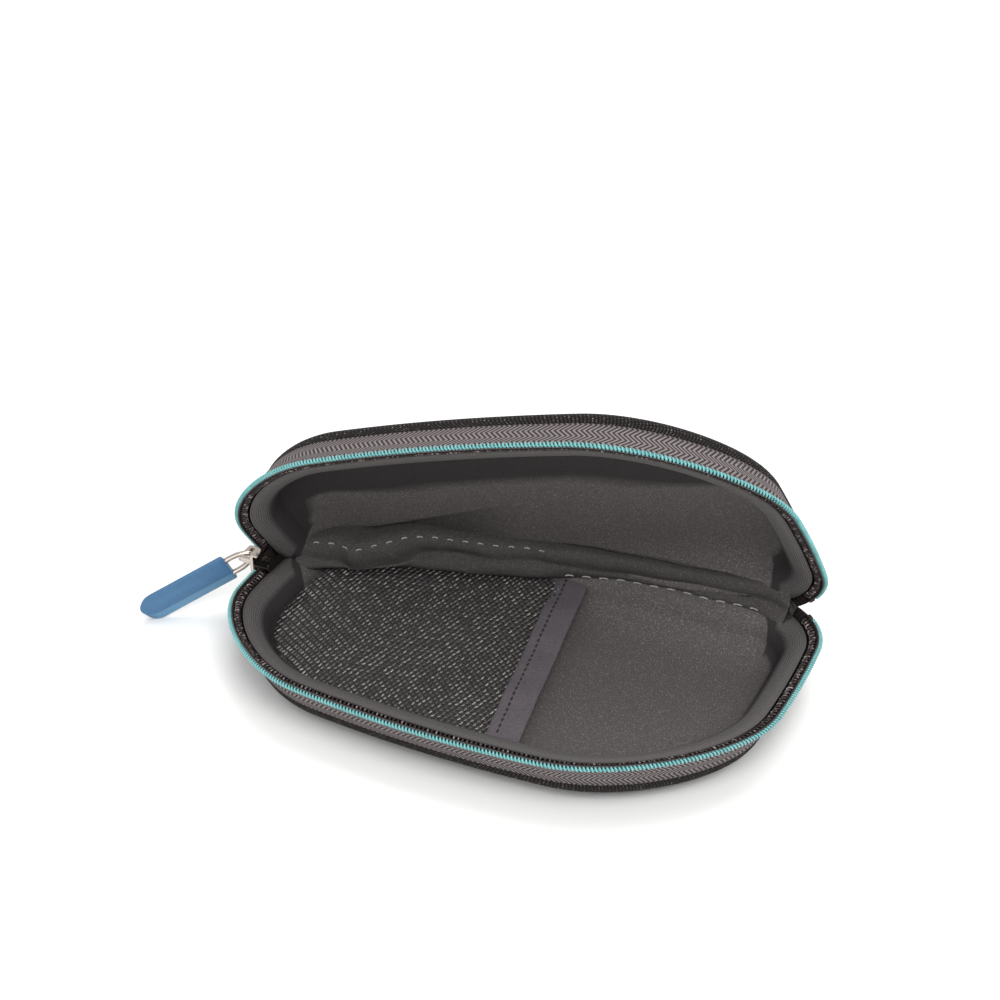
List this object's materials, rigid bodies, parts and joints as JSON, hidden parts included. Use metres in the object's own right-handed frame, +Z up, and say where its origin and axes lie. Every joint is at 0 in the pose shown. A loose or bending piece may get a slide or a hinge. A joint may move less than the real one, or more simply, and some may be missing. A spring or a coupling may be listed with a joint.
{
  "type": "glucose meter case",
  "caption": "Soft-shell zip case with two moulded fabric halves on a fabric spine, an inside net pocket, a coil zip and a moulded pull, standing open.",
  "frame": {"origin": "middle of the case's plan at the underside of the base half, on the surface it stands on", "axes": "+X along the case to the right seen from the zip's front edge, +Y from the front edge towards the spine, +Z up out of the base half"},
  "size_m": [0.1812, 0.0957, 0.0842],
  "materials": {
    "panel": "coarse woven nylon, matt",
    "foam": "moulded closed-cell foam",
    "lining": "brushed knit, matt",
    "tape": "herringbone woven tape",
    "coil": "nylon coil",
    "net": "knitted net",
    "hem": "folded elastic band",
    "nickel": "bright nickel plate",
    "pull": "moulded soft plastic"
  },
  "bodies": {
    "base": {"base_outer_fabric": "panel", "base_foam_core": "foam", "base_lining": "lining", "base_zip_tape": "tape", "base_zip_coil": "coil", "base_top_stop": "nickel", "base_hinge_facing": "lining", "pocket_net": "net", "pocket_hem": "hem", "spine_fabric": "panel", "spine_foam": "foam", "closed_chain": "coil", "zip_bottom_stop": "nickel", "corner_outer_fabric": "panel", "corner_lining": "lining"},
    "lid": {"lid_outer_fabric": "panel", "lid_foam_core": "foam", "lid_lining": "lining", "lid_zip_tape": "tape", "lid_zip_coil": "coil", "lid_top_stop": "nickel", "lid_hinge_facing": "lining"},
    "slider": {"slider_body": "nickel"},
    "pull": {"pull_bail": "nickel", "pull_tab": "pull"}
  },
  "joints": [
    {"name": "lid_hinge", "type": "hinge", "parent": "base", "child": "lid", "pos_m": [-0.076, 0, 0.018], "axis": [-0.9622, -0.2722, 0], "range_deg": [-60, 5]},
    {"name": "zip_slide", "type": "slide", "parent": "base", "child": "slider", "axis": [0, -1, 0], "range_m": [0, 0.008]},
    {"name": "pull_swing", "type": "hinge", "parent": "slider", "child": "pull", "pos_m": [-0.07965, 0, 0.018], "axis": [0.361, 0.2623, -0.8949], "range_deg": [-42, 95]}
  ]
}
